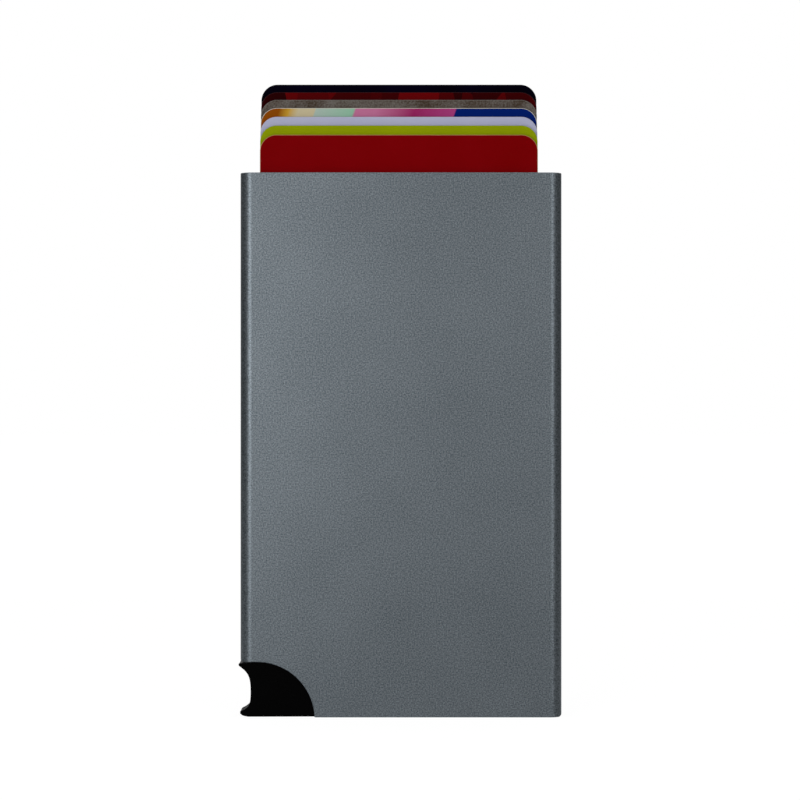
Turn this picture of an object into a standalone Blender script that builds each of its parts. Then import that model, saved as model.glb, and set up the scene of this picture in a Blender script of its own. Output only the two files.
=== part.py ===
# Aluminium card case: a flat extruded tube that holds a stack of seven cards.
# A corner lever under the stack lifts the cards into a fan of steps above the mouth.
# Frame: X to the right, Y from the front face to the rear, Z up, origin under the case's middle.
import math

import bmesh
import bpy
from mathutils import Matrix, Vector

MM = 0.001
Y_AXIS = Vector((0, 1, 0))
Z_AXIS = Vector((0, 0, 1))

# Clearances: FIT keeps two solids apart, OVERRUN takes every cutter past the face it opens
FIT = 0.3 * MM
OVERRUN = 1.0 * MM
WELD = 0.0005 * MM

# Cards, of the usual bank card size, from the front of the stack to its rear
CARD_WIDTH = 53.98 * MM
CARD_HEIGHT = 85.60 * MM
CARD_THICKNESS = 0.76 * MM
CARD_CORNER = 3.18 * MM
CARD_GAP = 0.15 * MM
CARDS = {
    "card_red": {"stands_out": 7.4 * MM, "chip": True, "color": (0.165, 0.001, 0.001)},
    "card_lime": {"stands_out": 9.3 * MM, "chip": False, "color": (0.212, 0.266, 0.002)},
    "card_lavender": {"stands_out": 11.1 * MM, "chip": True, "color": (0.356, 0.366, 0.497)},
    "card_multicolour": {"stands_out": 12.9 * MM, "chip": False, "color": (0.29, 0.02, 0.10)},
    "card_grey": {"stands_out": 14.6 * MM, "chip": True, "color": (0.09, 0.075, 0.07)},
    "card_dark_red": {"stands_out": 16.2 * MM, "chip": False, "color": (0.09, 0.001, 0.001)},
    "card_black": {"stands_out": 17.8 * MM, "chip": True, "color": (0.002, 0.002, 0.008)},
}

# Contact plate of a chip card, let into a pocket in the card's front face
CHIP_WIDTH = 11.4 * MM
CHIP_HEIGHT = 12.6 * MM
CHIP_THICKNESS = 0.20 * MM
CHIP_CORNER = 1.6 * MM
CHIP_BELOW_TOP = 16.1 * MM
CHIP_OFF_CENTRE = 2.7 * MM
CHIP_CLEARANCE = 0.15 * MM

# Liner of the narrow sides: a felt strip bonded to a rail, beside the cards' long edges
FELT_THICKNESS = 1.0 * MM
FELT_EDGE = 0.25 * MM
FELT_END_MARGIN = 2.0 * MM
LEFT_RAIL_THICKNESS = 1.0 * MM
RIGHT_RAIL_THICKNESS = 1.83 * MM
RAIL_BELOW_MOUTH = 1.5 * MM

# Tube
WALL = 0.9 * MM
LONG_EDGE_RADIUS = 2.1 * MM
FOOT_CORNER_RADIUS = 0.7 * MM
WALL_END_RADIUS = 0.4 * MM
RIM_CHAMFER = 0.12 * MM
MOUTH_MARGIN = 1.0 * MM

# Centre of the lever's quarter-round opening, near the bottom left corner
OPENING_INSET = 3.3 * MM
OPENING_DROP = 0.45 * MM

# Pivot of the lever: the opening reaches up to it and the ledge and the case stand on it
PIVOT_HEIGHT = 14.2 * MM
PIN_RADIUS = 0.8 * MM
PIN_CLEARANCE = 0.2 * MM
EAR_RADIUS = 2.2 * MM
EAR_THICKNESS = 1.1 * MM
EAR_TO_SIDE = 0.5 * MM
EAR_TO_SECTOR = 0.5 * MM
HUB_TO_LEDGE = 0.6 * MM

# Lever: a thick sector that fills the opening, an arm, and a stair under the stack
SECTOR_OVERLAP = 0.8 * MM
SECTOR_EDGE = 0.35 * MM
LEVER_GROUND = 0.05 * MM
HUB_RADIUS = 2.1 * MM
NECK_WIDTH = 2.6 * MM
SHOULDER_INSET = 1.5 * MM
RECESS_DEPTH = 2.05 * MM
RECESS_MIDDLE = 4.9 * MM
LIP_REACH = 0.3 * MM
LIP_RADIUS = 0.3 * MM
HORN_REACH = 0.05 * MM
HORN_HEIGHT = 0.95 * MM
HORN_TOE = 0.85 * MM
HORN_LENGTH = 1.8 * MM
ARM_THICKNESS = 4.0 * MM
ARM_ROOT_HEIGHT = 5.8 * MM
ARM_ROOT_OVERLAP = 4.0 * MM
ARM_SEAT = 1.0 * MM
ARM_SEAT_HEIGHT = 3.0 * MM
ABOVE_FLOOR = 0.6 * MM
STAIR_LENGTH = 5.0 * MM
STAIR_TO_TOWER = 2.3 * MM
STAIR_UNDER_LEDGE = 1.4 * MM

# Pulls of the thumb recess's curve, as shares of its depth and of half its upper or lower height
UPPER_PULL_SHARES = (0.75, 0.5, 1.2)
LOWER_PULL_SHARES = (1.35, 0.9, 0.45)
ROUND_PULL_SHARE = 0.45

# Torsion spring round the pin, with a leg in the bracket and a leg in the lever's slot
SPRING_WIRE = 0.3 * MM
SPRING_PITCH = 0.55 * MM
SPRING_TURNS = 2.5
SPRING_SLOT_DEPTH = 2.0 * MM
COIL_POINTS = 16

# Bracket above the lever and the cap that closes the bottom
LEDGE_THICKNESS = 1.8 * MM
LEDGE_LENGTH = 12.9 * MM
CAP_FLOOR = 1.8 * MM
TOWER_WIDTH = 11.5 * MM
TOWER_RIM = 1.6 * MM
TOWER_WEB = 1.8 * MM
BARB_RADIUS = 0.5 * MM
BARB_SINK = 0.05 * MM
BARB_WIDTH = 4.0 * MM
CAP_BARB_HEIGHT = 9.0 * MM
BRACKET_BARB_RISE = 1.8 * MM

# Facets of the round shapes, and the turn from which an edge counts as sharp
CORNER_STEPS = 12
ARC_STEPS = 48
ROUND_FACETS = 40
SHARP_TURN = math.radians(50)

# Sizes that follow from the ones above
stackDepth = len(CARDS) * CARD_THICKNESS + (len(CARDS) - 1) * CARD_GAP
cavityDepth = stackDepth + 2 * FIT
caseDepth = cavityDepth + 2 * WALL
leftLining = FIT + FELT_THICKNESS + FIT + LEFT_RAIL_THICKNESS + FIT
rightLining = FIT + FELT_THICKNESS + FIT + RIGHT_RAIL_THICKNESS + FIT
cavityWidth = leftLining + CARD_WIDTH + rightLining
caseWidth = cavityWidth + 2 * WALL
ledgeTop = PIVOT_HEIGHT + HUB_RADIUS + HUB_TO_LEDGE + LEDGE_THICKNESS
caseHeight = ledgeTop + FIT + CARD_HEIGHT + MOUTH_MARGIN
caseLeft = -caseWidth / 2
cavityLeft = -cavityWidth / 2
cavityRight = cavityWidth / 2
cardLeft = cavityLeft + leftLining
cardRight = cavityRight - rightLining
cardCentre = (cardLeft + cardRight) / 2
insideRadius = LONG_EDGE_RADIUS - WALL
fillHalfDepth = cavityDepth / 2 - FIT
openingX = caseLeft + OPENING_INSET
openingZ = -OPENING_DROP
sectorTop = PIVOT_HEIGHT - EAR_RADIUS - EAR_TO_SECTOR
sectorRadius = sectorTop - openingZ
openingRadius = sectorRadius - SECTOR_OVERLAP
shoulderZ = openingZ + openingRadius - FIT
lipLeft = caseLeft - LIP_REACH
hornLeft = caseLeft - HORN_REACH
pivotX = cavityLeft + FIT + EAR_TO_SIDE + EAR_RADIUS
pivot = Vector((pivotX, 0, PIVOT_HEIGHT))
towerLeft = cavityRight - FIT - TOWER_WIDTH

# Between the ears, from the front: a fit, the hub, a fit, the spring and a fit
earInside = fillHalfDepth - EAR_THICKNESS
springSpan = SPRING_PITCH * SPRING_TURNS
springEnd = earInside - FIT - SPRING_WIRE / 2
springStart = springEnd - springSpan
hubBack = springStart - SPRING_WIRE / 2 - FIT
hubFront = FIT - earInside
coilRadius = PIN_RADIUS + PIN_CLEARANCE + SPRING_WIRE / 2 + PIN_CLEARANCE / 2
bracketBarbFar = fillHalfDepth - insideRadius
bracketBarbNear = hubBack + 2 * FIT
bracketBarbZ = PIVOT_HEIGHT + BRACKET_BARB_RISE

parts = None
cutters = None


def startCollections():
    global parts, cutters
    for old in list(bpy.data.objects):
        bpy.data.objects.remove(old, do_unlink=True)
    parts = bpy.data.collections.new("card_case")
    cutters = bpy.data.collections.new("cutters")
    bpy.context.scene.collection.children.link(parts)
    bpy.context.scene.collection.children.link(cutters)


def moveTo(obj, collection):
    for old in list(obj.users_collection):
        old.objects.unlink(obj)
    collection.objects.link(obj)


def asCutter(obj):
    moveTo(obj, cutters)
    obj.hide_render = True
    obj.display_type = "WIRE"
    return obj


def cardPlace(index):
    """Depth of a card's middle and height of its bottom edge in the fan."""
    depth = -stackDepth / 2 + CARD_THICKNESS / 2 + index * (CARD_THICKNESS + CARD_GAP)
    out = list(CARDS.values())[index]["stands_out"]
    return depth, caseHeight + out - CARD_HEIGHT


# Shapes

def block(name, low, high):
    """A box between two corners, its origin at its middle."""
    low, high = Vector(low), Vector(high)
    bpy.ops.mesh.primitive_cube_add(size=1, location=(low + high) / 2)
    obj = bpy.context.object
    obj.name = name
    obj.data.transform(Matrix.Diagonal((*(high - low), 1)))
    moveTo(obj, parts)
    return obj


def roundEdges(obj, axis, radius, steps=CORNER_STEPS):
    """Round the edges that run along an axis."""
    mesh = bmesh.new()
    mesh.from_mesh(obj.data)
    picked = []
    for edge in mesh.edges:
        along = (edge.verts[1].co - edge.verts[0].co).normalized()
        if abs(along.dot(axis)) > math.cos(SHARP_TURN):
            picked.append(edge)
    bmesh.ops.bevel(mesh, geom=picked, offset=radius, segments=steps, profile=0.5, affect="EDGES")
    mesh.to_mesh(obj.data)
    mesh.free()
    return obj


def cylinder(name, centre, radius, length, axis=Y_AXIS, facets=ROUND_FACETS):
    bpy.ops.mesh.primitive_cylinder_add(vertices=facets, radius=radius, depth=length, location=centre)
    obj = bpy.context.object
    obj.name = name
    obj.data.transform(Z_AXIS.rotation_difference(axis).to_matrix().to_4x4())
    moveTo(obj, parts)
    return obj


def meshFromCurve(curveObject):
    """Turn a filled or bevelled curve into a closed mesh object of the same name."""
    name = curveObject.name
    bpy.context.view_layer.update()
    ready = curveObject.evaluated_get(bpy.context.evaluated_depsgraph_get())
    data = bpy.data.meshes.new_from_object(ready)
    place = curveObject.matrix_world.copy()
    bpy.data.objects.remove(curveObject, do_unlink=True)
    mesh = bmesh.new()
    mesh.from_mesh(data)
    bmesh.ops.remove_doubles(mesh, verts=mesh.verts, dist=WELD)
    bmesh.ops.recalc_face_normals(mesh, faces=mesh.faces)
    mesh.to_mesh(data)
    mesh.free()
    data.materials.clear()
    obj = bpy.data.objects.new(name, data)
    obj.matrix_world = place
    parts.objects.link(obj)
    return obj


def plate(name, outline, depth, middle=0.0, turn=None):
    """A flat outline, given as pairs of lengths, drawn in the XZ plane and made thick along Y."""
    curve = bpy.data.curves.new(name, "CURVE")
    curve.dimensions = "2D"
    curve.fill_mode = "BOTH"
    curve.extrude = depth / 2
    line = curve.splines.new("POLY")
    line.points.add(len(outline) - 1)
    for point, (across, up) in zip(line.points, outline):
        point.co = (across, up, 0, 1)
    line.use_cyclic_u = True
    obj = bpy.data.objects.new(name, curve)
    parts.objects.link(obj)
    standing = Matrix.Rotation(math.radians(90), 4, "X")
    obj.matrix_world = Matrix.Translation((0, middle, 0)) @ (turn or Matrix()) @ standing
    obj = meshFromCurve(obj)
    obj.data.transform(obj.matrix_world)
    obj.matrix_world = Matrix()
    return obj


def arc(centreX, centreZ, radius, start, end, steps):
    """Points of an arc, the angles in degrees from +X towards +Z."""
    points = []
    for step in range(steps + 1):
        angle = math.radians(start + (end - start) * step / steps)
        points.append((centreX + radius * math.cos(angle), centreZ + radius * math.sin(angle)))
    return points


def sweep(start, startPull, endPull, end, steps):
    """Points of one smooth curve from start to end, drawn by two pull points."""
    points = []
    for step in range(steps + 1):
        t = step / steps
        weights = ((1 - t) ** 3, 3 * t * (1 - t) ** 2, 3 * t * t * (1 - t), t ** 3)
        corners = (start, startPull, endPull, end)
        points.append(tuple(sum(w * c[k] for w, c in zip(weights, corners)) for k in (0, 1)))
    return points


def combine(obj, other, operation):
    change = obj.modifiers.new(operation.lower(), "BOOLEAN")
    change.operation = operation
    change.solver = "EXACT"
    change.object = other
    bpy.context.view_layer.update()
    ready = obj.evaluated_get(bpy.context.evaluated_depsgraph_get())
    data = bpy.data.meshes.new_from_object(ready)
    obj.modifiers.remove(change)
    obj.data = data
    return obj


def add(obj, *others):
    for other in others:
        combine(obj, other, "UNION")
        bpy.data.objects.remove(other, do_unlink=True)
    return obj


def cut(obj, *others):
    for other in others:
        combine(obj, asCutter(other), "DIFFERENCE")
    return obj


def keepInside(obj, other):
    combine(obj, asCutter(other), "INTERSECT")
    return obj


def tidy(obj):
    mesh = bmesh.new()
    mesh.from_mesh(obj.data)
    bmesh.ops.remove_doubles(mesh, verts=mesh.verts, dist=WELD)
    bmesh.ops.dissolve_degenerate(mesh, edges=mesh.edges, dist=WELD)
    mesh.to_mesh(obj.data)
    mesh.free()
    return obj


def setOrigin(obj, point):
    """Put the object's origin on a point, with its mesh left where it is."""
    shift = Vector(point) - obj.location
    obj.data.transform(Matrix.Translation(-shift))
    obj.location = point
    return obj


def finish(obj, name, color, roughness, metallic=0.0, smooth=True):
    obj.name = name
    obj.data.name = name
    material = bpy.data.materials.new(name)
    material.use_nodes = True
    shader = material.node_tree.nodes["Principled BSDF"]
    shader.inputs["Base Color"].default_value = (*color, 1)
    shader.inputs["Roughness"].default_value = roughness
    shader.inputs["Metallic"].default_value = metallic
    obj.data.materials.clear()
    obj.data.materials.append(material)
    if smooth:
        obj.data.shade_smooth()
        obj.data.set_sharp_from_angle(angle=SHARP_TURN / 2)
    return obj


def cavityFill(name, low, high):
    """What would fill the tube between two heights, clear of its walls all round."""
    obj = block(name, (cavityLeft + FIT, -fillHalfDepth, low), (cavityRight - FIT, fillHalfDepth, high))
    return roundEdges(obj, Z_AXIS, insideRadius - FIT)


# The case

def makeTube():
    halfWidth, halfDepth = caseWidth / 2, caseDepth / 2
    tube = block("case_tube", (-halfWidth, -halfDepth, 0), (halfWidth, halfDepth, caseHeight))
    roundEdges(tube, Z_AXIS, LONG_EDGE_RADIUS)
    inside = block("tube_inside", (cavityLeft, -cavityDepth / 2, -OVERRUN),
                   (cavityRight, cavityDepth / 2, caseHeight + OVERRUN))
    roundEdges(inside, Z_AXIS, insideRadius)
    cut(tube, inside)
    cut(tube, makeOpeningCutter(), makeFootCornerCutter())
    cut(tube, capBarb("cap_groove", FIT), bracketBarb("bracket_groove", FIT))
    tidy(tube)
    rim = tube.modifiers.new("rim_chamfer", "BEVEL")
    rim.width = RIM_CHAMFER
    rim.segments = 1
    rim.limit_method = "ANGLE"
    rim.angle_limit = SHARP_TURN
    finish(tube, "case_tube", (0.13, 0.145, 0.155), 0.45, 1.0)


def makeOpeningCutter():
    """The quarter round through both faces, with the side wall under its top taken off."""
    outline = arc(openingX, openingZ, openingRadius, 0, 90, ARC_STEPS)
    wallEnd = openingZ + openingRadius + WALL_END_RADIUS
    outline += arc(caseLeft + WALL_END_RADIUS, wallEnd, WALL_END_RADIUS, 270, 180, CORNER_STEPS // 2)
    outline += [(caseLeft - OVERRUN, wallEnd), (caseLeft - OVERRUN, -OVERRUN)]
    outline += [(openingX + openingRadius, -OVERRUN)]
    return plate("lever_opening", outline, caseDepth + 2 * OVERRUN)


def makeFootCornerCutter():
    """What lies outside the rounded bottom right corner of the tube."""
    right = caseWidth / 2
    centre = right - FOOT_CORNER_RADIUS
    outline = arc(centre, FOOT_CORNER_RADIUS, FOOT_CORNER_RADIUS, -90, 0, CORNER_STEPS)
    outline += [(right + OVERRUN, FOOT_CORNER_RADIUS), (right + OVERRUN, -OVERRUN), (centre, -OVERRUN)]
    return plate("foot_corner", outline, caseDepth + 2 * OVERRUN)


def capBarb(name, clearance=0.0):
    """The cap's half-round snap barb, or with a clearance the groove that it snaps into."""
    place = (cavityRight - FIT - BARB_SINK, 0, CAP_BARB_HEIGHT)
    return cylinder(name, place, BARB_RADIUS + clearance, BARB_WIDTH + 2 * clearance)


def bracketBarb(name, clearance=0.0):
    place = (cavityLeft + FIT + BARB_SINK, (bracketBarbNear + bracketBarbFar) / 2, bracketBarbZ)
    width = bracketBarbFar - bracketBarbNear
    return cylinder(name, place, BARB_RADIUS + clearance, width + 2 * clearance)


def makeEndCap():
    """The floor right of the lever's sweep, with a tower that carries the stowed cards."""
    cap = cavityFill("end_cap", 0, ledgeTop)
    cut(cap, block("above_floor", (caseLeft, -caseDepth, CAP_FLOOR),
                   (towerLeft, caseDepth, ledgeTop + OVERRUN)))
    cornerX, cornerZ = sectorCorner()
    swept = math.hypot(cornerX - pivotX, cornerZ - PIVOT_HEIGHT) + FIT
    cut(cap, cylinder("lever_sweep", pivot, swept, caseDepth, facets=4 * ROUND_FACETS))
    for side in (-1, 1):
        near, far = sorted((side * TOWER_WEB / 2, side * caseDepth))
        pocket = block("tower_pocket", (towerLeft + TOWER_RIM, near, CAP_FLOOR + TOWER_RIM),
                       (cavityRight - FIT - TOWER_RIM, far, ledgeTop - TOWER_RIM))
        cut(cap, pocket)
    add(cap, capBarb("cap_barb"))
    cut(cap, capFootCorner())
    finish(tidy(cap), "end_cap", (0.012, 0.012, 0.013), 0.5)


def capFootCorner():
    """Keeps the cap's own bottom right corner inside the tube's rounded one."""
    right = cavityRight - FIT
    radius = FOOT_CORNER_RADIUS
    outline = arc(right - radius, radius, radius, -90, 0, CORNER_STEPS)
    outline += [(right + OVERRUN, radius), (right + OVERRUN, -OVERRUN), (right - radius, -OVERRUN)]
    return plate("cap_foot_corner", outline, caseDepth + 2 * OVERRUN)


# The lever and its pivot

def sectorCorner():
    """The lever's lowest point on the right, where its round edge meets its flat foot."""
    rise = LEVER_GROUND - openingZ
    return openingX + math.sqrt(sectorRadius ** 2 - rise ** 2), LEVER_GROUND


def sectorOutline():
    start = math.degrees(math.asin((LEVER_GROUND - openingZ) / sectorRadius))
    outline = arc(openingX, openingZ, sectorRadius, start, 90, ARC_STEPS)
    shoulderX = cavityLeft + SHOULDER_INSET
    outline += [(shoulderX, sectorTop), (shoulderX, shoulderZ)]
    outline += arc(lipLeft + LIP_RADIUS, shoulderZ - LIP_RADIUS, LIP_RADIUS, 90, 225, CORNER_STEPS)
    outline += recessCurve(outline[-1])
    outline += hornToe()[1:]
    return outline


def recessCurve(lip):
    """The thumb recess in the lever's left edge, from under its lip down to the horn."""
    deep = caseLeft + RECESS_DEPTH
    upper = (lip[1] - RECESS_MIDDLE) / 2
    lower = (RECESS_MIDDLE - HORN_HEIGHT) / 2
    lipAcross, lipDown, deepUp = UPPER_PULL_SHARES
    deepDown, hornAcross, hornUp = LOWER_PULL_SHARES
    down = sweep(lip, (caseLeft + RECESS_DEPTH * lipAcross, lip[1] - upper * lipDown),
                 (deep, RECESS_MIDDLE + upper * deepUp), (deep, RECESS_MIDDLE), CORNER_STEPS)
    out = sweep((deep, RECESS_MIDDLE), (deep, RECESS_MIDDLE - lower * deepDown),
                (hornLeft + RECESS_DEPTH * hornAcross, HORN_HEIGHT + lower * hornUp),
                (hornLeft, HORN_HEIGHT), CORNER_STEPS)
    return down[1:] + out[1:]


def hornToe():
    """The long round end under the horn, down to the lever's flat foot."""
    top = LEVER_GROUND + HORN_TOE
    return sweep((hornLeft, top), (hornLeft, LEVER_GROUND + HORN_TOE * ROUND_PULL_SHARE),
                 (hornLeft + HORN_LENGTH * ROUND_PULL_SHARE, LEVER_GROUND),
                 (hornLeft + HORN_LENGTH, LEVER_GROUND), CORNER_STEPS)


def stairHeights():
    """Height of each step above the pivot when the lever is pressed, front to rear."""
    return [cardPlace(index)[1] - FIT - PIVOT_HEIGHT for index in range(len(CARDS))]


def stairReach():
    """How far the stair's middle is from the pivot, so that it swings clear of the tower."""
    farthest = towerLeft - STAIR_TO_TOWER - pivotX
    return math.sqrt(farthest ** 2 - stairHeights()[-1] ** 2) - STAIR_LENGTH / 2


def pressAngle():
    """The lever's turn, which takes the stair's highest edge from below the ledge to its place."""
    near, top = stairReach() - STAIR_LENGTH / 2, stairHeights()[-1]
    resting = ledgeTop - STAIR_UNDER_LEDGE - PIVOT_HEIGHT
    return math.atan2(top, near) - math.asin(resting / math.hypot(near, top))


def stairBase():
    """Height of the stair's base above the pivot when pressed, so that it rests clear of the floor."""
    far = stairReach() + STAIR_LENGTH / 2
    resting = CAP_FLOOR + ABOVE_FLOOR - PIVOT_HEIGHT
    return (resting + far * math.sin(pressAngle())) / math.cos(pressAngle())


def inPressedPlace(reach, height):
    """A point named by its place from the pivot with the lever pressed, given at rest."""
    turned = Matrix.Rotation(pressAngle(), 4, "Y") @ Vector((reach, 0, height))
    return turned.x + pivotX, turned.z + PIVOT_HEIGHT


def makeStair():
    """One step under each card, level when the lever is pressed."""
    outline = [(fillHalfDepth, stairBase()), (-fillHalfDepth, stairBase())]
    near = -fillHalfDepth
    for index, height in enumerate(stairHeights()):
        far = cardPlace(index)[0] + (CARD_THICKNESS + CARD_GAP) / 2
        far = min(far, fillHalfDepth)
        outline += [(near, height), (far, height)]
        near = far
    stair = plate("stair", outline, STAIR_LENGTH, turn=Matrix.Rotation(math.radians(90), 4, "Z"))
    back = Matrix.Translation(pivot) @ Matrix.Rotation(pressAngle(), 4, "Y")
    stair.data.transform(back @ Matrix.Translation((stairReach(), 0, 0)))
    return stair


def makeLever():
    lever = plate("ejector_lever", sectorOutline(), 2 * fillHalfDepth)
    edge = lever.modifiers.new("edge", "BEVEL")
    edge.width = SECTOR_EDGE
    edge.segments = 3
    edge.limit_method = "ANGLE"
    edge.angle_limit = SHARP_TURN
    lever.data = bpy.data.meshes.new_from_object(
        lever.evaluated_get(bpy.context.evaluated_depsgraph_get()))
    lever.modifiers.clear()
    add(lever, makeHub(), add(makeArm(), makeStair()))
    bore = cylinder("hub_bore", pivot, PIN_RADIUS + PIN_CLEARANCE, caseDepth)
    cut(lever, bore, springSlot())
    tidy(lever)
    setOrigin(lever, pivot)
    finish(lever, "ejector_lever", (0.003, 0.003, 0.003), 0.35)


def makeArm():
    """The bar from the sector to the stair, just above the cap's floor."""
    rootX = sectorCorner()[0] - ARM_ROOT_OVERLAP
    rootZ = CAP_FLOOR + ABOVE_FLOOR
    near = stairReach() - STAIR_LENGTH / 2
    far = near + STAIR_LENGTH
    outline = [(rootX, rootZ), (rootX, rootZ + ARM_ROOT_HEIGHT),
               inPressedPlace(near + ARM_SEAT, stairBase() + ARM_SEAT_HEIGHT),
               inPressedPlace(far - ARM_SEAT / 2, stairBase() + ARM_SEAT / 2)]
    return plate("arm", outline, ARM_THICKNESS)


def makeHub():
    """The ring round the pin, on a neck that rises from the sector."""
    half = NECK_WIDTH / 2
    start = -math.degrees(math.acos(half / HUB_RADIUS))
    outline = [(pivotX - half, shoulderZ), (pivotX + half, shoulderZ)]
    outline += arc(pivotX, PIVOT_HEIGHT, HUB_RADIUS, start, 180 - start, ROUND_FACETS)
    return plate("hub", outline, hubBack - hubFront, (hubBack + hubFront) / 2)


def springSlot():
    """A slot in the sector's round edge for the spring's lower leg."""
    middle = pivotX + coilRadius
    half = SPRING_WIRE / 2 + FIT
    return block("spring_slot", (middle - half, springEnd - half, sectorTop - SPRING_SLOT_DEPTH),
                 (middle + half, springEnd + half, sectorTop + OVERRUN))


def makePin():
    pin = cylinder("pivot_pin", pivot, PIN_RADIUS, 2 * fillHalfDepth)
    finish(pin, "pivot_pin", (0.55, 0.55, 0.56), 0.3, 1.0)


def makeSpring():
    """Upper leg, coil and lower leg as one wire, from the bracket's side to the lever's slot."""
    points = [(pivotX - coilRadius, springStart, ledgeTop - LEDGE_THICKNESS - FIT)]
    steps = int(COIL_POINTS * SPRING_TURNS)
    for step in range(steps + 1):
        angle = math.pi - 2 * math.pi * SPRING_TURNS * step / steps
        depth = springStart + springSpan * step / steps
        points.append((pivotX + coilRadius * math.cos(angle), depth,
                       PIVOT_HEIGHT + coilRadius * math.sin(angle)))
    points.append((pivotX + coilRadius, springEnd, sectorTop - SPRING_SLOT_DEPTH + FIT))
    curve = bpy.data.curves.new("return_spring", "CURVE")
    curve.dimensions = "3D"
    curve.bevel_depth = SPRING_WIRE / 2
    curve.bevel_resolution = 1
    curve.use_fill_caps = True
    line = curve.splines.new("POLY")
    line.points.add(len(points) - 1)
    for point, place in zip(line.points, points):
        point.co = (*place, 1)
    spring = bpy.data.objects.new("return_spring", curve)
    parts.objects.link(spring)
    finish(meshFromCurve(spring), "return_spring", (0.5, 0.5, 0.5), 0.3, 1.0)


def makeBracket():
    """Ledge for the stowed cards, with an ear each side of the hub and a stop for the spring."""
    left, right = cavityLeft + FIT, pivotX + EAR_RADIUS
    foot, underside = PIVOT_HEIGHT - EAR_RADIUS, ledgeTop - LEDGE_THICKNESS
    bracket = cavityFill("pivot_bracket", foot - OVERRUN, ledgeTop)
    side = [(left - OVERRUN, ledgeTop + OVERRUN), (left - OVERRUN, foot), (pivotX, foot)]
    side += arc(pivotX, PIVOT_HEIGHT, EAR_RADIUS, -90, 0, CORNER_STEPS)[1:]
    side += [(right, underside), (left + LEDGE_LENGTH, underside), (left + LEDGE_LENGTH, ledgeTop + OVERRUN)]
    keepInside(bracket, plate("bracket_side", side, caseDepth))
    cut(bracket, makeEarGap(foot - OVERRUN, underside + FIT))
    add(bracket, bracketBarb("bracket_barb"))
    cut(bracket, cylinder("ear_bore", pivot, PIN_RADIUS + PIN_CLEARANCE, caseDepth))
    finish(tidy(bracket), "pivot_bracket", (0.02, 0.02, 0.022), 0.55)


def makeEarGap(low, high):
    """The space between the ears, which leaves the stop for the spring's upper leg on the left."""
    left, right = caseLeft - OVERRUN, pivotX + EAR_RADIUS + FIT
    stopRight = pivotX - coilRadius - SPRING_WIRE / 2 - FIT
    stopNear = hubBack + FIT
    plan = [(left, -earInside), (right, -earInside), (right, earInside), (stopRight, earInside),
            (stopRight, stopNear), (left, stopNear)]
    gap = plate("ear_gap", plan, high - low, turn=Matrix.Rotation(math.radians(-90), 4, "X"))
    gap.data.transform(Matrix.Translation((0, 0, (low + high) / 2)))
    return gap


# Lining and cards

def makeLining(name, side):
    """A rail bonded to a narrow wall and the felt strip bonded to the rail."""
    thickness = LEFT_RAIL_THICKNESS if side < 0 else RIGHT_RAIL_THICKNESS
    low = ledgeTop + FIT
    high = caseHeight - RAIL_BELOW_MOUTH
    rail = cavityFill(name + "_rail", low, high)
    wallFace = cavityLeft + FIT if side < 0 else cavityRight - FIT
    innerFace = wallFace - side * thickness
    near, far = sorted((innerFace, wallFace + side * OVERRUN))
    keepInside(rail, block("rail_bounds", (near, -caseDepth, 0), (far, caseDepth, caseHeight)))
    finish(tidy(rail), name + "_rail", (0.015, 0.015, 0.016), 0.5)
    near, far = sorted((innerFace - side * FIT, innerFace - side * (FIT + FELT_THICKNESS)))
    felt = block(name + "_felt", (near, -stackDepth / 2, low + FELT_END_MARGIN),
                 (far, stackDepth / 2, high - FELT_END_MARGIN))
    roundEdges(felt, Z_AXIS, FELT_EDGE, 2)
    finish(felt, name + "_felt", (0.02, 0.02, 0.022), 0.95, smooth=False)


def makeCard(index, name, card):
    depth, bottom = cardPlace(index)
    front = depth - CARD_THICKNESS / 2
    obj = block(name, (cardLeft, front, bottom), (cardRight, front + CARD_THICKNESS, bottom + CARD_HEIGHT))
    roundEdges(obj, Y_AXIS, CARD_CORNER)
    if card["chip"]:
        makeChip(obj, name, front, bottom + CARD_HEIGHT)
    finish(obj, name, card["color"], 0.4)


def makeChip(card, name, front, top):
    x = cardCentre + CHIP_OFF_CENTRE
    z = top - CHIP_BELOW_TOP
    pocket = chipBlock("chip_pocket", x, z, front - OVERRUN, front + CHIP_THICKNESS + CHIP_CLEARANCE,
                       CHIP_CLEARANCE)
    cut(card, pocket)
    chip = chipBlock(name + "_chip", x, z, front, front + CHIP_THICKNESS, 0.0)
    finish(chip, name + "_chip", (0.75, 0.55, 0.25), 0.3, 1.0)


def chipBlock(name, x, z, near, far, clearance):
    halfWidth = CHIP_WIDTH / 2 + clearance
    halfHeight = CHIP_HEIGHT / 2 + clearance
    obj = block(name, (x - halfWidth, near, z - halfHeight), (x + halfWidth, far, z + halfHeight))
    return roundEdges(obj, Y_AXIS, CHIP_CORNER + clearance, CORNER_STEPS // 2)


def main():
    startCollections()
    makeTube()
    makeEndCap()
    makeBracket()
    makePin()
    makeSpring()
    makeLever()
    makeLining("left", -1)
    makeLining("right", 1)
    for index, (name, card) in enumerate(CARDS.items()):
        makeCard(index, name, card)


main()
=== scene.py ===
import math

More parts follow.
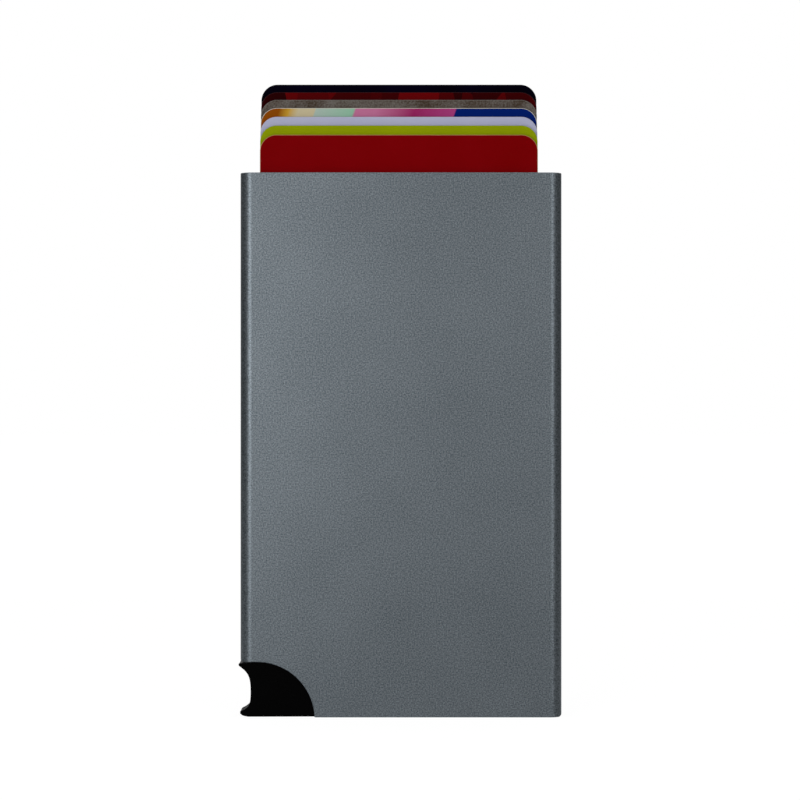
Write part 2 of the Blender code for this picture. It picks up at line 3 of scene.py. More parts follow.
import bmesh
import bpy
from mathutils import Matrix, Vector


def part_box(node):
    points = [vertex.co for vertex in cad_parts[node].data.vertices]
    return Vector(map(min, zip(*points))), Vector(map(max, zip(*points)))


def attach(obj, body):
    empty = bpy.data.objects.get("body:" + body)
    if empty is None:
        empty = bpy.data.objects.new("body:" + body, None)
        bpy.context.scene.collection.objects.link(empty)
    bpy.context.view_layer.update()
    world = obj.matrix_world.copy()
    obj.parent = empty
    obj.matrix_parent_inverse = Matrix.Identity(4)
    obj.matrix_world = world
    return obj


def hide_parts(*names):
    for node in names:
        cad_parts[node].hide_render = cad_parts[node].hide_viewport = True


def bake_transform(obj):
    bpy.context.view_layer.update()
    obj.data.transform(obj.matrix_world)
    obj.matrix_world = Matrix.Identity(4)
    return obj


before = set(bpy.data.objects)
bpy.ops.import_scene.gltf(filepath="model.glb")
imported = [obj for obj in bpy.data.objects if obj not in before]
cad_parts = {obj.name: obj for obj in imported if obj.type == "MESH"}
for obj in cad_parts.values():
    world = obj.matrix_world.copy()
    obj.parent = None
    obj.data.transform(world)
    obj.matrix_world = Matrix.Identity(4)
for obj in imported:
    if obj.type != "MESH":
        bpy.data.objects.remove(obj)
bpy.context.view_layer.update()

mm = 0.001
mixFactor, mixA, mixB, mixResult = 0, 6, 7, 2  # the sockets of a Mix node set to colours
print("frame loaded:", len(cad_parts), "nodes")


# Colours and nodes

def toLinear(hexText):
    channels = [int(hexText[place:place + 2], 16) / 255 for place in (1, 3, 5)]
    return (*[c / 12.92 if c <= 0.04045 else ((c + 0.055) / 1.055) ** 2.4 for c in channels], 1)


def addNode(tree, kind, values=None, links=None, stops=None, **settings):
    node = tree.nodes.new("ShaderNode" + kind)
    for name, value in settings.items():
        setattr(node, name, value)
    for socket, value in (values or {}).items():
        node.inputs[socket].default_value = value
    for socket, source in (links or {}).items():
        tree.links.new(source, node.inputs[socket])
    if stops:  # a ramp's colours, as pairs of a place and a hex colour
        marks = node.color_ramp.elements
        while len(marks) < len(stops):
            marks.new(1.0)
        for mark, (place, hexText) in zip(marks, stops):
            mark.position = place
            mark.color = toLinear(hexText)
    return node


def startMaterial(name, values):
    # a new material with its shader's fixed values, and the piece's own coordinates
    material = bpy.data.materials.new(name)
    material.use_nodes = True
    tree = material.node_tree
    shader = tree.nodes["Principled BSDF"]
    for socket, value in values.items():
        shader.inputs[socket].default_value = value
    place = addNode(tree, "TexCoord").outputs["Object"]
    return material, tree, shader, place


def finishSkin(tree, shader, pattern, look):
    # the pattern of a surface's skin makes its gloss uneven and raises its fine relief
    if "roughness" in look:
        smooth, rough = look["roughness"]
        gloss = addNode(tree, "MapRange", {"To Min": smooth, "To Max": rough}, {"Value": pattern})
        tree.links.new(gloss.outputs["Result"], shader.inputs["Roughness"])
    if "reliefDepth" in look:
        relief = addNode(tree, "Bump", {"Strength": look["reliefStrength"], "Distance": look["reliefDepth"]},
                         {"Height": pattern})
        tree.links.new(relief.outputs["Normal"], shader.inputs["Normal"])


# Shapes

cutPast = 1 * mm  # how far a cutter reaches past what it cuts
samePlace = 0.001 * mm  # corners nearer than this are one
sliverWidth = 0.002 * mm  # what the rounding leaves narrower than this is closed
sharpFrom = 35  # degrees between two faces, from which their edge is rounded
flatWithin = 1  # degrees between two faces that are one


def arcPoints(centreX, centreZ, radius, start, end, steps):
    points = []
    for step in range(steps + 1):
        angle = math.radians(start + (end - start) * step / steps)
        points.append((centreX + radius * math.cos(angle), centreZ + radius * math.sin(angle)))
    return points


def roundedOutline(low, high, radius, steps):
    left, bottom, right, top = low[0] + radius, low[1] + radius, high[0] - radius, high[1] - radius
    points = arcPoints(left, bottom, radius, 180, 270, steps)
    points += arcPoints(right, bottom, radius, 270, 360, steps)
    points += arcPoints(right, top, radius, 0, 90, steps)
    return points + arcPoints(left, top, radius, 90, 180, steps)


def prism(name, outline, start, end, along):
    # an outline made solid between two levels: drawn from above for Z, from the front for Y
    mesh = bmesh.new()
    rings = []
    for level in (start, end):
        corners = [(a, b, level) if along == "Z" else (a, level, b) for a, b in outline]
        rings.append([mesh.verts.new(corner) for corner in corners])
    for ring in rings:
        mesh.faces.new(ring)
    for index in range(len(outline)):
        after = (index + 1) % len(outline)
        mesh.faces.new((rings[0][index], rings[0][after], rings[1][after], rings[1][index]))
    bmesh.ops.recalc_face_normals(mesh, faces=mesh.faces)
    data = bpy.data.meshes.new(name)
    mesh.to_mesh(data)
    mesh.free()
    obj = bpy.data.objects.new(name, data)
    bpy.context.scene.collection.objects.link(obj)
    return obj


def box(name, low, high):
    face = [(low[0], low[2]), (high[0], low[2]), (high[0], high[2]), (low[0], high[2])]
    return prism(name, face, low[1], high[1], "Y")


def cutAway(obj, *cutters):
    for cutter in cutters:
        change = obj.modifiers.new("cut", "BOOLEAN")
        change.operation = "DIFFERENCE"
        change.solver = "EXACT"
        change.object = cutter
        bpy.context.view_layer.update()
        ready = obj.evaluated_get(bpy.context.evaluated_depsgraph_get())
        obj.data = bpy.data.meshes.new_from_object(ready)
        obj.modifiers.remove(change)
        bpy.data.objects.remove(cutter, do_unlink=True)


def breakEdges(obj, width, segments=3, closeSlivers=True):
    # rounds the edges a little, as on every real part, and keeps the flat faces flat in the light
    obj.data.shade_smooth()
    bevel = obj.modifiers.new("brokenEdges", "BEVEL")
    bevel.width = width
    bevel.segments = segments
    bevel.limit_method = "ANGLE"
    bevel.angle_limit = math.radians(sharpFrom)
    bevel.use_clamp_overlap = False
    if closeSlivers:
        slivers = obj.modifiers.new("sliversClosed", "WELD")
        slivers.merge_threshold = sliverWidth
    shading = obj.modifiers.new("evenShading", "WEIGHTED_NORMAL")
    shading.keep_sharp = True


def dress(obj, material):
    obj.data.materials.clear()
    obj.data.materials.append(material)
    return obj


def dressNode(name, material, edgeBreak, closeSlivers=True):
    # a CAD node keeps its shape and gets its finish, with its packed triangles joined into faces
    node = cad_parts[name]
    weld = node.modifiers.new("joined", "WELD")
    weld.merge_threshold = samePlace
    flat = node.modifiers.new("wholeFaces", "DECIMATE")
    flat.decimate_type = "DISSOLVE"
    flat.angle_limit = math.radians(flatWithin)
    breakEdges(node, edgeBreak, segments=2, closeSlivers=closeSlivers)
    dress(node, material)


# Case tube: a drawn aluminium profile, cut to length, bead blasted and anodised grey

caseLook = {
    "wall": 0.9 * mm,
    "longEdgeRadius": 2.3 * mm,
    "boreEdgeRadius": 1.2 * mm,
    "footCornerRadius": 0.7 * mm,
    "openingRadius": 11.15 * mm,
    "openingInset": 3.3 * mm,  # the opening's centre, in from the left side
    "openingDrop": 0.45 * mm,  # and down from the foot
    "wallEndRadius": 0.55 * mm,  # where the side wall ends above the lever
    "edgeBreak": 0.14 * mm,
    "barbRadius": 0.5 * mm,  # the snap barbs of the end cap and the bracket
    "grooveRadius": 0.8 * mm,  # the grooves that they sit in
    "capGroove": {"height": 9.0 * mm, "near": -2.3 * mm, "far": 2.3 * mm},
    "bracketGroove": {"height": 16.0 * mm, "near": 0.035 * mm, "far": 2.21 * mm},
    "darkGrain": "#4b545a",
    "lightGrain": "#8f979d",
    "grainSize": 0.27 * mm,  # coarser than blasting leaves it, so that it shows
    "cloudSize": 14 * mm,
    "cloudShare": 0.07,  # how much the clouds shift the grain's shade
    "roughness": (0.36, 0.48),
    "reliefDepth": 0.006 * mm,
    "reliefStrength": 0.12,
}


def anodisedAluminium(look):
    # bead blasting leaves fine matt dimples, so the face sparkles softly and never mirrors
    material, tree, shader, place = startMaterial("anodised aluminium, bead blasted", {"Metallic": 1.0})
    grain = addNode(tree, "TexNoise", {"Scale": 1 / look["grainSize"], "Detail": 3.0, "Roughness": 0.7},
                    {"Vector": place})
    clouds = addNode(tree, "TexNoise", {"Scale": 1 / look["cloudSize"], "Detail": 2.0}, {"Vector": place})
    shade = addNode(tree, "Math", {1: look["cloudShare"]},
                    {0: clouds.outputs["Fac"], 2: grain.outputs["Fac"]}, operation="MULTIPLY_ADD")
    colour = addNode(tree, "ValToRGB", links={"Fac": shade.outputs[0]},
                     stops=[(0.36, look["darkGrain"]), (0.71, look["lightGrain"])])
    tree.links.new(colour.outputs["Color"], shader.inputs["Base Color"])
    finishSkin(tree, shader, grain.outputs["Fac"], look)
    return material


def openingCutter(look, low, high):
    # the lever's quarter round through both faces, with the side wall below its top
    centreX, centreZ = low.x + look["openingInset"], -look["openingDrop"]
    outline = arcPoints(centreX, centreZ, look["openingRadius"], 0, 90, steps=64)
    end = look["wallEndRadius"]
    wallEnd = centreZ + look["openingRadius"] + end
    outline += arcPoints(low.x + end, wallEnd, end, 270, 180, steps=12)
    outline += [(low.x - cutPast, wallEnd), (low.x - cutPast, -cutPast)]
    outline += [(centreX + look["openingRadius"], -cutPast)]
    return prism("opening", outline, low.y - cutPast, high.y + cutPast, "Y")


def footCutter(look, low, high):
    # all that lies outside the rounded corner at the foot, on the right
    radius = look["footCornerRadius"]
    outline = arcPoints(high.x - radius, radius, radius, -90, 0, steps=16)
    outline += [(high.x + cutPast, radius), (high.x + cutPast, -cutPast), (high.x - radius, -cutPast)]
    return prism("footCorner", outline, low.y - cutPast, high.y + cutPast, "Y")


def grooveCutter(look, x, groove):
    # the groove inside a narrow wall that a snap barb sits in, as a full round of 36 corners
    outline = arcPoints(x, groove["height"], look["grooveRadius"], 0, 350, steps=35)
    return prism("groove", outline, groove["near"], groove["far"], "Y")


def makeCase(look):
    low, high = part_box("case_tube")
    wall = look["wall"]
    outside = roundedOutline(low, high, look["longEdgeRadius"], steps=24)
    inside = roundedOutline((low.x + wall, low.y + wall), (high.x - wall, high.y - wall),
                            look["boreEdgeRadius"], steps=16)
    case = prism("caseTube", outside, low.z, high.z, "Z")
    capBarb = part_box("end_cap")[1].x - look["barbRadius"]
    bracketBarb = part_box("pivot_bracket")[0].x + look["barbRadius"]
    cutAway(case, prism("bore", inside, low.z - cutPast, high.z + cutPast, "Z"),
            openingCutter(look, low, high), footCutter(look, low, high),
            grooveCutter(look, capBarb, look["capGroove"]),
            grooveCutter(look, bracketBarb, look["bracketGroove"]))
    breakEdges(case, look["edgeBreak"])
    dress(case, anodisedAluminium(look))
    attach(case, "case")
    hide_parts("case_tube")


makeCase(caseLook)
print("case tube made")


# Lever: the CAD node keeps its shape

leverLook = {
    "edgeBreak": 0.08 * mm,
    "darkTint": "#010101",
    "lightTint": "#030303",
    "textureSize": 0.16 * mm,
    "roughness": (0.24, 0.32),
    "reliefDepth": 0.01 * mm,
    "reliefStrength": 0.5,
}


def leverAcetal(look):
    # moulded in a spark-eroded tool, so it is deep black with a faint fine sheen
    material, tree, shader, place = startMaterial("acetal, moulded black", {"Specular IOR Level": 0.03})
    texture = addNode(tree, "TexNoise", {"Scale": 1 / look["textureSize"], "Detail": 2.0}, {"Vector": place})
    colour = addNode(tree, "ValToRGB", links={"Fac": texture.outputs["Fac"]},
                     stops=[(0.3, look["darkTint"]), (0.8, look["lightTint"])])
    tree.links.new(colour.outputs["Color"], shader.inputs["Base Color"])
    finishSkin(tree, shader, texture.outputs["Fac"], look)
    return material


# End cap, pivot bracket and rails: nylon mouldings, with the CAD nodes' own shapes

nylonLook = {
    "edgeBreak": 0.12 * mm,
    "skinTint": "#151516",
    "fibreTint": "#242426",
    "textureSize": 0.25 * mm,
    "roughness": (0.45, 0.65),
    "reliefDepth": 0.015 * mm,
    "reliefStrength": 0.5,
}


def filledNylon(look):
    # glass filled nylon shows pale fibre specks in a dark matt skin
    material, tree, shader, place = startMaterial("nylon, glass filled and moulded",
                                                  {"Specular IOR Level": 0.35})
    texture = addNode(tree, "TexNoise", {"Scale": 1 / look["textureSize"], "Detail": 4.0}, {"Vector": place})
    colour = addNode(tree, "ValToRGB", links={"Fac": texture.outputs["Fac"]},
                     stops=[(0.45, look["skinTint"]), (0.75, look["fibreTint"])])
    tree.links.new(colour.outputs["Color"], shader.inputs["Base Color"])
    finishSkin(tree, shader, texture.outputs["Fac"], look)
    return material


# Pivot pin and return spring

steelLook = {
    "pinEdgeBreak": 0.10 * mm,
    "springWire": 0.3 * mm,
    "darkTint": "#a9aaab",
    "lightTint": "#c9cacb",
    "lineWidth": 0.05 * mm,
    "lineStretch": 0.06,  # their scale along the pin, as a share of the scale across it
    "roughness": (0.22, 0.36),
}


def drawnSteel(look):
    # drawing leaves fine lines along the wire and the pin, which stretch each highlight
    material, tree, shader, place = startMaterial("stainless steel, drawn", {"Metallic": 1.0})
    stretched = addNode(tree, "Mapping", {"Scale": (1, look["lineStretch"], 1)}, {"Vector": place})
    lines = addNode(tree, "TexNoise", {"Scale": 1 / look["lineWidth"], "Detail": 2.0},
                    {"Vector": stretched.outputs["Vector"]})
    colour = addNode(tree, "ValToRGB", links={"Fac": lines.outputs["Fac"]},
                     stops=[(0.3, look["darkTint"]), (0.7, look["lightTint"])])
    tree.links.new(colour.outputs["Color"], shader.inputs["Base Color"])
    finishSkin(tree, shader, lines.outputs["Fac"], look)
    return material


def makeSpring(material):
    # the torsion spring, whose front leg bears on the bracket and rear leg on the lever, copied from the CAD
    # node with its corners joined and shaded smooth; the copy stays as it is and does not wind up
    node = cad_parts["return_spring"]
    wire = bmesh.new()
    wire.from_mesh(node.data)
    wire.transform(node.matrix_world)
    bmesh.ops.remove_doubles(wire, verts=wire.verts, dist=samePlace)
    data = bpy.data.meshes.new("returnSpring")
    wire.to_mesh(data)
    wire.free()
    data.shade_smooth()
    spring = bpy.data.objects.new("returnSpring", data)
    bpy.context.scene.collection.objects.link(spring)
    dress(spring, material)
    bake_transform(spring)
    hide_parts("return_spring")


# Felt strips on the rails

feltLook = {
    "edgeBreak": 0.10 * mm,
    "darkTint": "#1b1b1d",
    "lightTint": "#3a3a3d",
    "fibreSize": 0.18 * mm,
    "reliefDepth": 0.12 * mm,
    "reliefStrength": 1.0,
}


def woolFelt(look):
    # pressed wool has a fuzzy, uneven skin of fibres that catches light at a low angle
    material, tree, shader, place = startMaterial("wool felt, pressed", {
        "Specular IOR Level": 0.1, "Sheen Weight": 0.4, "Sheen Roughness": 0.5, "Roughness": 0.95})
    fibres = addNode(tree, "TexNoise", {"Scale": 1 / look["fibreSize"], "Detail": 6.0, "Distortion": 1.5},
                     {"Vector": place})
    colour = addNode(tree, "ValToRGB", links={"Fac": fibres.outputs["Fac"]},
                     stops=[(0.35, look["darkTint"]), (0.70, look["lightTint"])])
    tree.links.new(colour.outputs["Color"], shader.inputs["Base Color"])
    finishSkin(tree, shader, fibres.outputs["Fac"], look)
    return material


nylon = filledNylon(nylonLook)
steel = drawnSteel(steelLook)
felt = woolFelt(feltLook)
# the lever's outline is in facets so short that closing its slivers would tear it
dressNode("ejector_lever", leverAcetal(leverLook), leverLook["edgeBreak"], closeSlivers=False)
for nodeName in ("end_cap", "pivot_bracket", "left_rail", "right_rail"):
    dressNode(nodeName, nylon, nylonLook["edgeBreak"])
dressNode("pivot_pin", steel, steelLook["pinEdgeBreak"])
makeSpring(steel)
for nodeName in ("left_felt", "right_felt"):
    dressNode(nodeName, felt, feltLook["edgeBreak"])
print("moulded, steel and felt parts dressed")


# Bank cards: PVC sheets printed on both faces and laminated, with a pale core at the edge

cardShape = {
    "corner": 3.18 * mm,
    "edgeBreak": 0.16 * mm,
    "stripeTop": 4.0 * mm,  # the magnetic stripe on the back, down from the top edge
    "stripeHeight": 12.7 * mm,
    "stripeColour": "#17120f",
    "pocketGap": 0.12 * mm,  # round the contact plate
    "pocketDepth": 0.30 * mm,
    "wearSize": 1.2 * mm,  # the unevenness of the line where the print ends and the core shows
    "wearShare": 0.12,
    "skinSize": 1.6 * mm,
    "roughness": (0.09, 0.15),
    "reliefDepth": 0.01 * mm,
    "reliefStrength": 0.4,
}
cardLooks = {
    "card_red": {"piece": "redCard", "body": "red", "print": "plain", "edge": "#b5825c",
                 "tints": ["#740003", "#780106"]},
    "card_lime": {"piece": "limeCard", "body": "lime", "print": "plain", "edge": "#8c9a12",
                  "tints": ["#869504", "#8a9904"]},
    "card_lavender": {"piece": "lavenderCard", "body": "lavender", "print": "plain", "edge": "#b4b3c4",
                      "tints": ["#aaacc8", "#aeb0ca"]},
    "card_multicolour": {"piece": "multicolourCard", "body": "multicolour", "print": "fields",
                         "edge": "#d2cec2",
                         "tints": ["#884505", "#bf9430", "#c0b492", "#a4b5ab", "#88b59a", "#b86c90",
                                   "#93245c", "#a23c78", "#021d66"]},
    "card_grey": {"piece": "greyCard", "body": "grey", "print": "stone", "edge": "#6e6a66",
                  "tints": ["#40352b", "#554d47", "#69645f"]},
    "card_dark_red": {"piece": "darkRedCard", "body": "dark_red", "print": "facets", "edge": "#30060a",
                      "tints": ["#1c0002", "#3c0103", "#620306"]},
    "card_black": {"piece": "blackCard", "body": "black", "print": "plain", "edge": "#06060c",
                   "tints": ["#020006", "#040114"]},
}
printLook = {
    "cloudSize": 12 * mm,
    "fieldsFrom": -42 * mm,  # the slanting fields run across the card from here
    "fieldsTo": 12 * mm,
    "fieldsSlant": -0.35,
    "patchSize": 7 * mm,
    "speckSize": 0.35 * mm,
    "facetSize": 9 * mm,
    "facetTurn": 28,  # degrees
    "facetStretch": (1.6, 1, 0.7),
}


def plainPrint(tree, place, tints, look):
    # one ink, with the faint clouds of offset print
    clouds = addNode(tree, "TexNoise", {"Scale": 1 / look["cloudSize"], "Detail": 2.0}, {"Vector": place})
    return addNode(tree, "ValToRGB", links={"Fac": clouds.outputs["Fac"]},
                   stops=[(0.35, tints[0]), (0.65, tints[1])]).outputs["Color"]


def fieldsPrint(tree, place, tints, look):
    # slanting fields of colour, some melting together and some cut clean
    axes = addNode(tree, "SeparateXYZ", links={"Vector": place})
    slant = addNode(tree, "Math", {1: look["fieldsSlant"]}, {0: axes.outputs["Z"]}, operation="MULTIPLY")
    across = addNode(tree, "Math", links={0: axes.outputs["X"], 1: slant.outputs[0]}, operation="ADD")
    share = addNode(tree, "MapRange", {"From Min": look["fieldsFrom"], "From Max": look["fieldsTo"]},
                    {"Value": across.outputs[0]})
    orange, gold, cream, mint, green, pink, magenta, plum, blue = tints
    return addNode(tree, "ValToRGB", links={"Fac": share.outputs["Result"]}, stops=[
        (0.00, orange), (0.07, orange), (0.105, gold), (0.14, cream), (0.199, cream), (0.202, mint),
        (0.342, green), (0.345, pink), (0.42, pink), (0.56, magenta), (0.708, plum), (0.711, blue),
    ]).outputs["Color"]


def stonePrint(tree, place, tints, look):
    # the fine speckle of a stone print, over broad patches of brown and grey
    patches = addNode(tree, "TexNoise", {"Scale": 1 / look["patchSize"], "Detail": 1.0, "Distortion": 1.0},
                      {"Vector": place})
    specks = addNode(tree, "TexNoise", {"Scale": 1 / look["speckSize"], "Detail": 2.0}, {"Vector": place})
    mix = addNode(tree, "Math", {1: 0.9}, {0: patches.outputs["Fac"], 2: specks.outputs["Fac"]},
                  operation="MULTIPLY_ADD")
    half = addNode(tree, "Math", {1: 0.6}, {0: mix.outputs[0]}, operation="MULTIPLY")
    return addNode(tree, "ValToRGB", links={"Fac": half.outputs[0]},
                   stops=[(0.44, tints[0]), (0.57, tints[1]), (0.72, tints[2])]).outputs["Color"]


def facetsPrint(tree, place, tints, look):
    # flat slanting facets, each in its own shade of the same red
    turn = (0, math.radians(look["facetTurn"]), 0)
    slanted = addNode(tree, "Mapping", {"Rotation": turn, "Scale": look["facetStretch"]}, {"Vector": place})
    facets = addNode(tree, "TexVoronoi", {"Scale": 1 / look["facetSize"]},
                     {"Vector": slanted.outputs["Vector"]}, distance="MANHATTAN")
    return addNode(tree, "ValToRGB", links={"Fac": facets.outputs["Color"]},
                   stops=[(0.15, tints[0]), (0.50, tints[1]), (0.85, tints[2])]).outputs["Color"]


prints = {"plain": plainPrint, "fields": fieldsPrint, "stone": stonePrint, "facets": facetsPrint}


def laminatedCard(look, shape, halfHeight):
    # a clear laminate over the ink gives a low satin gloss, and the cut edge shows the core
    material, tree, shader, place = startMaterial(look["piece"] + ", printed PVC laminate",
                                                  {"Specular IOR Level": 0.05})
    axes = addNode(tree, "SeparateXYZ", links={"Vector": place})
    normal = addNode(tree, "TexCoord").outputs["Normal"]
    facing = addNode(tree, "SeparateXYZ", links={"Vector": normal})
    ink = prints[look["print"]](tree, place, look["tints"], printLook)

    # the magnetic stripe runs across the back, where the normal points to the rear
    middle = halfHeight - shape["stripeTop"] - shape["stripeHeight"] / 2
    nearStripe = addNode(tree, "Math", {1: middle, 2: shape["stripeHeight"] / 2},
                         {0: axes.outputs["Z"]}, operation="COMPARE")
    onBack = addNode(tree, "Math", {1: 0.5}, {0: facing.outputs["Y"]}, operation="GREATER_THAN")
    onStripe = addNode(tree, "Math", links={0: nearStripe.outputs[0], 1: onBack.outputs[0]},
                       operation="MULTIPLY")
    printed = addNode(tree, "Mix", {mixB: toLinear(shape["stripeColour"])},
                      {mixFactor: onStripe.outputs[0], mixA: ink}, data_type="RGBA")

    # the core shows where the surface turns away from both faces, unevenly from wear
    sideways = addNode(tree, "Math", links={0: facing.outputs["Y"]}, operation="ABSOLUTE")
    wear = addNode(tree, "TexNoise", {"Scale": 1 / shape["wearSize"], "Detail": 4.0}, {"Vector": place})
    worn = addNode(tree, "Math", {1: shape["wearShare"]},
                   {0: wear.outputs["Fac"], 2: sideways.outputs[0]}, operation="MULTIPLY_ADD")
    edge = addNode(tree, "MapRange", {"From Min": 0.97, "From Max": 1.03}, {"Value": worn.outputs[0]})
    colour = addNode(tree, "Mix", {mixA: toLinear(look["edge"])},
                     {mixFactor: edge.outputs["Result"], mixB: printed.outputs[mixResult]},
                     data_type="RGBA")
    tree.links.new(colour.outputs[mixResult], shader.inputs["Base Color"])

    skin = addNode(tree, "TexNoise", {"Scale": 1 / shape["skinSize"], "Detail": 3.0}, {"Vector": place})
    finishSkin(tree, shader, skin.outputs["Fac"], shape)
    return material


def makeCard(nodeName, look, shape):
    low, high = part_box(nodeName)
    half = (high - low) / 2
    outline = roundedOutline((-half.x, -half.z), (half.x, half.z), shape["corner"], steps=20)
    card = prism(look["piece"], outline, -half.y, half.y, "Y")
    card.location = (low + high) / 2
    if nodeName + "_chip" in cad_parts:
        chipLow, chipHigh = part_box(nodeName + "_chip")
        gap = shape["pocketGap"]
        pocket = roundedOutline((chipLow.x - gap, chipLow.z - gap), (chipHigh.x + gap, chipHigh.z + gap),
                                chipShape["corner"] + gap, steps=8)
        cutAway(card, prism("pocket", pocket, low.y - cutPast, low.y + shape["pocketDepth"], "Y"))
    breakEdges(card, shape["edgeBreak"])
    dress(card, laminatedCard(look, shape, half.z))
    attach(card, look["body"])
    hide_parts(nodeName)


# Contact plates: eight gold-plated contacts and a middle field on a dark carrier

chipShape = {
    "corner": 1.6 * mm,
    "gap": 0.22 * mm,  # between two contacts
    "rowHeight": 4.1 * mm,
    "platingDepth": 0.04 * mm,
    "goldColour": "#d8b36a",
    "paleGold": "#e6cc92",
    "hairlineWidth": 0.08 * mm,
    "hairlineStretch": 0.05,  # their scale along the card, as a share of the scale across it
    "roughness": (0.18, 0.42),
    "carrierColour": "#1a1814",
    "carrierWeave": "#2b2720",
    "weaveSize": 0.12 * mm,
    "carrierRoughness": 0.6,
}


def platedGold(shape):
    # thin gold over nickel is smooth, with hairlines from use in card readers
    material, tree, shader, place = startMaterial("gold plating, worn", {"Metallic": 1.0})
    along = addNode(tree, "Mapping", {"Scale": (1, 1, shape["hairlineStretch"])}, {"Vector": place})
    hairlines = addNode(tree, "TexNoise", {"Scale": 1 / shape["hairlineWidth"], "Detail": 3.0},
                        {"Vector": along.outputs["Vector"]})
    colour = addNode(tree, "ValToRGB", links={"Fac": hairlines.outputs["Fac"]},
                     stops=[(0.35, shape["goldColour"]), (0.75, shape["paleGold"])])
    tree.links.new(colour.outputs["Color"], shader.inputs["Base Color"])
    finishSkin(tree, shader, hairlines.outputs["Fac"], shape)
    return material


def carrierResin(shape):
    # the glass epoxy carrier under the contacts is dark and matt
    material, tree, shader, place = startMaterial("glass epoxy, dark",
                                                  {"Roughness": shape["carrierRoughness"]})
    weave = addNode(tree, "TexNoise", {"Scale": 1 / shape["weaveSize"], "Detail": 2.0}, {"Vector": place})
    colour = addNode(tree, "ValToRGB", links={"Fac": weave.outputs["Fac"]},
                     stops=[(0.3, shape["carrierColour"]), (0.8, shape["carrierWeave"])])
    tree.links.new(colour.outputs["Color"], shader.inputs["Base Color"])
    return material


def makeContacts(shape, half, outline):
    # gold face of the plate about its own middle, with the gaps cut between the contacts
    front, back = -half.y, -half.y + shape["platingDepth"]
    contacts = prism("contacts", outline, front, back, "Y")
    near, far = front - cutPast, back + cutPast
    gap, row = shape["gap"] / 2, half.z - shape["rowHeight"]
    for side in (-1, 1):
        z = side * row
        cutAway(contacts, box("rowGap", (-half.x - gap, near, z - gap), (half.x + gap, far, z + gap)))
        bottom, top = sorted((z, side * (half.z + gap)))
        for x in (-half.x / 2, 0, half.x / 2):
            cutAway(contacts, box("contactGap", (x - gap, near, bottom), (x + gap, far, top)))
    return contacts


def makeChips(looks, shape):
    gold, resin = platedGold(shape), carrierResin(shape)
    chipNodes = [name for name in looks if name + "_chip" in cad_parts]
    low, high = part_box(chipNodes[0] + "_chip")
    half = (high - low) / 2
    outline = roundedOutline((-half.x, -half.z), (half.x, half.z), shape["corner"], steps=8)
    contacts = dress(makeContacts(shape, half, outline), gold)
    carrier = dress(prism("carrier", outline, -half.y + shape["platingDepth"], half.y, "Y"), resin)
    for nodeName in chipNodes:
        low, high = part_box(nodeName + "_chip")
        for part, ending in ((contacts, "Contacts"), (carrier, "Carrier")):
            piece = bpy.data.objects.new(looks[nodeName]["piece"] + ending, part.data)
            bpy.context.scene.collection.objects.link(piece)
            piece.location = (low + high) / 2
            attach(piece, looks[nodeName]["body"])
            if ending == "Contacts":
                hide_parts(nodeName + "_chip")
    bpy.data.objects.remove(contacts, do_unlink=True)
    bpy.data.objects.remove(carrier, do_unlink=True)


for nodeName, look in cardLooks.items():
    makeCard(nodeName, look, cardShape)
makeChips(cardLooks, chipShape)
print("cards and chips made")


# Floor, backdrop, lights and camera

stageLook = {
    "floorReach": 4.0,
    "floorThickness": 2 * mm,
    "floorColour": "#f2f2f0",
    "floorFibre": "#f6f6f5",
    "fibreSize": 1.11 * mm,
    "floorShows": 0.85,  # the share of plain white in what the camera sees on the floor
    "floorWhite": 1.10,
    "ambient": 0.45,  # the room's light on the object
    "aim": (0, 0, 60 * mm),  # where the softboxes point
}
softboxes = {  # degrees round the object from the front, then metres; glow is the softbox's brightness
    "leftSoftbox": {"around": -24, "away": 0.45, "height": 0.04, "size": (0.19, 0.40), "glow": 4.0},
    "rightSoftbox": {"around": 27, "away": 0.45, "height": 0.06, "size": (0.12, 0.44), "glow": 2.8},
    "topSoftbox": {"around": 0, "away": 0.15, "height": 0.70, "size": (0.60, 0.30), "glow": 0.4},
}
panels = {  # dim panels that only shiny surfaces see, in metres; at a glow of 1 they would be white
    "leftPanel": {"corners": ((-0.37, -0.48, 0.00), (-0.36, 0.28, 0.25)), "glow": 0.12},
    "rightPanel": {"corners": ((0.36, -0.48, 0.00), (0.37, 0.28, 0.25)), "glow": 0.12},
    "cameraPanel": {"corners": ((-0.36, -0.49, 0.00), (0.36, -0.48, 0.48)), "glow": 0.14},
    "leftRearPanel": {"corners": ((-0.36, 0.28, 0.00), (-0.10, 0.29, 0.25)), "glow": 0.35},
    "rightRearPanel": {"corners": ((0.10, 0.28, 0.00), (0.36, 0.29, 0.25)), "glow": 0.35},
    "lowRearPanel": {"corners": ((-0.10, 0.28, 0.00), (0.10, 0.29, 0.055)), "glow": 0.20},
    "frontTablePanel": {"corners": ((-0.36, -0.48, 0.00005), (0.36, 0.00, 0.00008)), "glow": 0.30},
    "rearTablePanel": {"corners": ((-0.36, 0.00, 0.00005), (0.36, 0.28, 0.00008)), "glow": 0.45},
}
cameraLook = {
    "away": 500 * mm,  # from the case's front face
    "height": 61.5 * mm,
    "aside": -0.2 * mm,
    "field": 154.95 * mm,  # the width that the picture shows at the front face
    "sensor": 36,  # Blender counts this one in plain millimetres
    "nearest": 10 * mm,
}


def whiteShow(tree):
    # 1 for rays from the camera, from glossy surfaces and through glass: those see plain white
    rays = addNode(tree, "LightPath").outputs
    shiny = addNode(tree, "Math", links={0: rays["Is Camera Ray"], 1: rays["Is Glossy Ray"]},
                    operation="MAXIMUM")
    return addNode(tree, "Math", links={0: shiny.outputs[0], 1: rays["Is Transmission Ray"]},
                   operation="MAXIMUM").outputs[0]


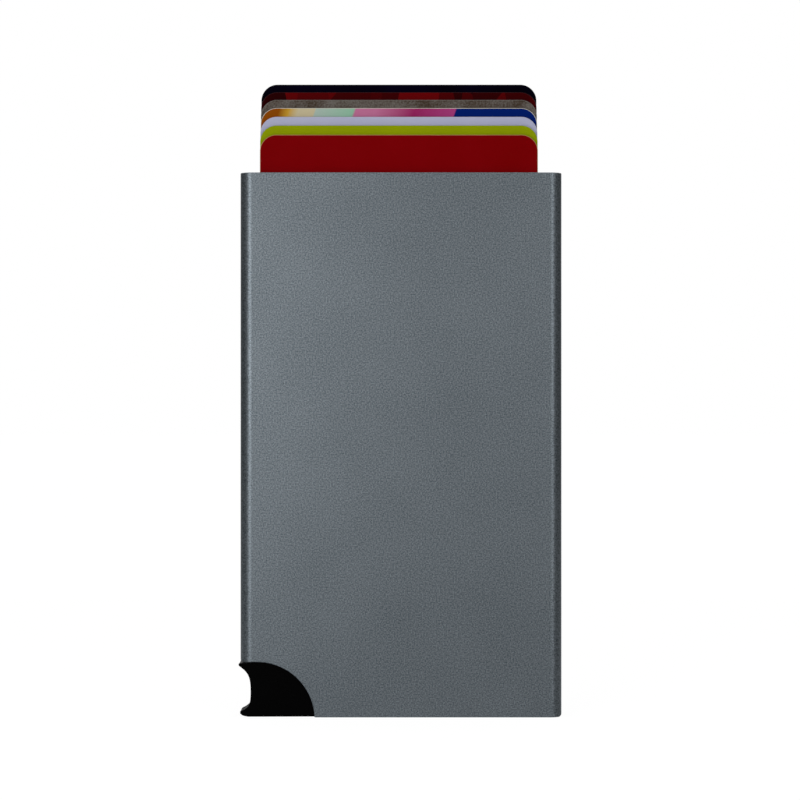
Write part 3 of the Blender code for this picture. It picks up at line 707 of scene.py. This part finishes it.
def makeWorld(look):
    world = bpy.data.worlds.new("whiteRoom")
    bpy.context.scene.world = world
    world.use_nodes = True
    tree = world.node_tree
    tree.nodes.clear()
    room = addNode(tree, "Background", {"Color": (1, 1, 1, 1), "Strength": look["ambient"]})
    white = addNode(tree, "Background", {"Color": (1, 1, 1, 1), "Strength": 1.0})
    mix = addNode(tree, "MixShader", links={0: whiteShow(tree), 1: room.outputs[0], 2: white.outputs[0]})
    addNode(tree, "OutputWorld", links={"Surface": mix.outputs[0]})


def makeFloor(look):
    # a paper sweep is matt, with faint fibres
    reach = look["floorReach"]
    corners = [(-reach, -reach), (reach, -reach), (reach, reach), (-reach, reach)]
    floor = prism("floor", corners, -look["floorThickness"], 0, "Z")
    material, tree, shader, place = startMaterial("paper sweep, white", {"Roughness": 0.9})
    fibre = addNode(tree, "TexNoise", {"Scale": 1 / look["fibreSize"], "Detail": 3.0}, {"Vector": place})
    colour = addNode(tree, "ValToRGB", links={"Fac": fibre.outputs["Fac"]},
                     stops=[(0.3, look["floorColour"]), (0.7, look["floorFibre"])])
    tree.links.new(colour.outputs["Color"], shader.inputs["Base Color"])
    white = addNode(tree, "Emission", {"Strength": look["floorWhite"]})
    share = addNode(tree, "Math", {1: look["floorShows"]}, {0: whiteShow(tree)}, operation="MULTIPLY")
    mix = addNode(tree, "MixShader",
                  links={0: share.outputs[0], 1: shader.outputs[0], 2: white.outputs[0]})
    tree.links.new(mix.outputs[0], tree.nodes["Material Output"].inputs["Surface"])
    dress(floor, material)


def aimAt(obj, target):
    obj.rotation_euler = (Vector(target) - obj.location).to_track_quat("-Z", "Y").to_euler()


def makeSoftbox(name, look, target):
    light = bpy.data.lights.new(name, "AREA")
    light.shape = "RECTANGLE"
    light.size, light.size_y = look["size"]
    light.energy = look["glow"] * math.pi * look["size"][0] * look["size"][1]
    obj = bpy.data.objects.new(name, light)
    bpy.context.scene.collection.objects.link(obj)
    angle = math.radians(look["around"])
    obj.location = (look["away"] * math.sin(angle), -look["away"] * math.cos(angle), look["height"])
    aimAt(obj, target)
    obj.visible_camera = False


def makePanel(name, look):
    # evenly lit cloth, which stands in for the dimmer parts of a studio in what the metal mirrors
    panel = box(name, *look["corners"])
    material = bpy.data.materials.new("lit cloth " + name)
    material.use_nodes = True
    tree = material.node_tree
    light = addNode(tree, "Emission", {"Strength": look["glow"]})
    tree.links.new(light.outputs[0], tree.nodes["Material Output"].inputs["Surface"])
    dress(panel, material)
    panel.visible_camera = False
    panel.visible_diffuse = False
    panel.visible_shadow = False


makeWorld(stageLook)
makeFloor(stageLook)
for name, look in softboxes.items():
    makeSoftbox(name, look, stageLook["aim"])
for name, look in panels.items():
    makePanel(name, look)

camera = bpy.data.objects.new("camera", bpy.data.cameras.new("camera"))
bpy.context.scene.collection.objects.link(camera)
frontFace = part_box("case_tube")[0].y
camera.location = (cameraLook["aside"], frontFace - cameraLook["away"], cameraLook["height"])
camera.rotation_euler = (math.radians(90), 0, 0)
camera.data.sensor_width = cameraLook["sensor"]
camera.data.lens = cameraLook["sensor"] * cameraLook["away"] / cameraLook["field"]
camera.data.clip_start = cameraLook["nearest"]
bpy.context.scene.camera = camera
bpy.context.scene.view_settings.view_transform = "Standard"
print("stage, lights and camera set")
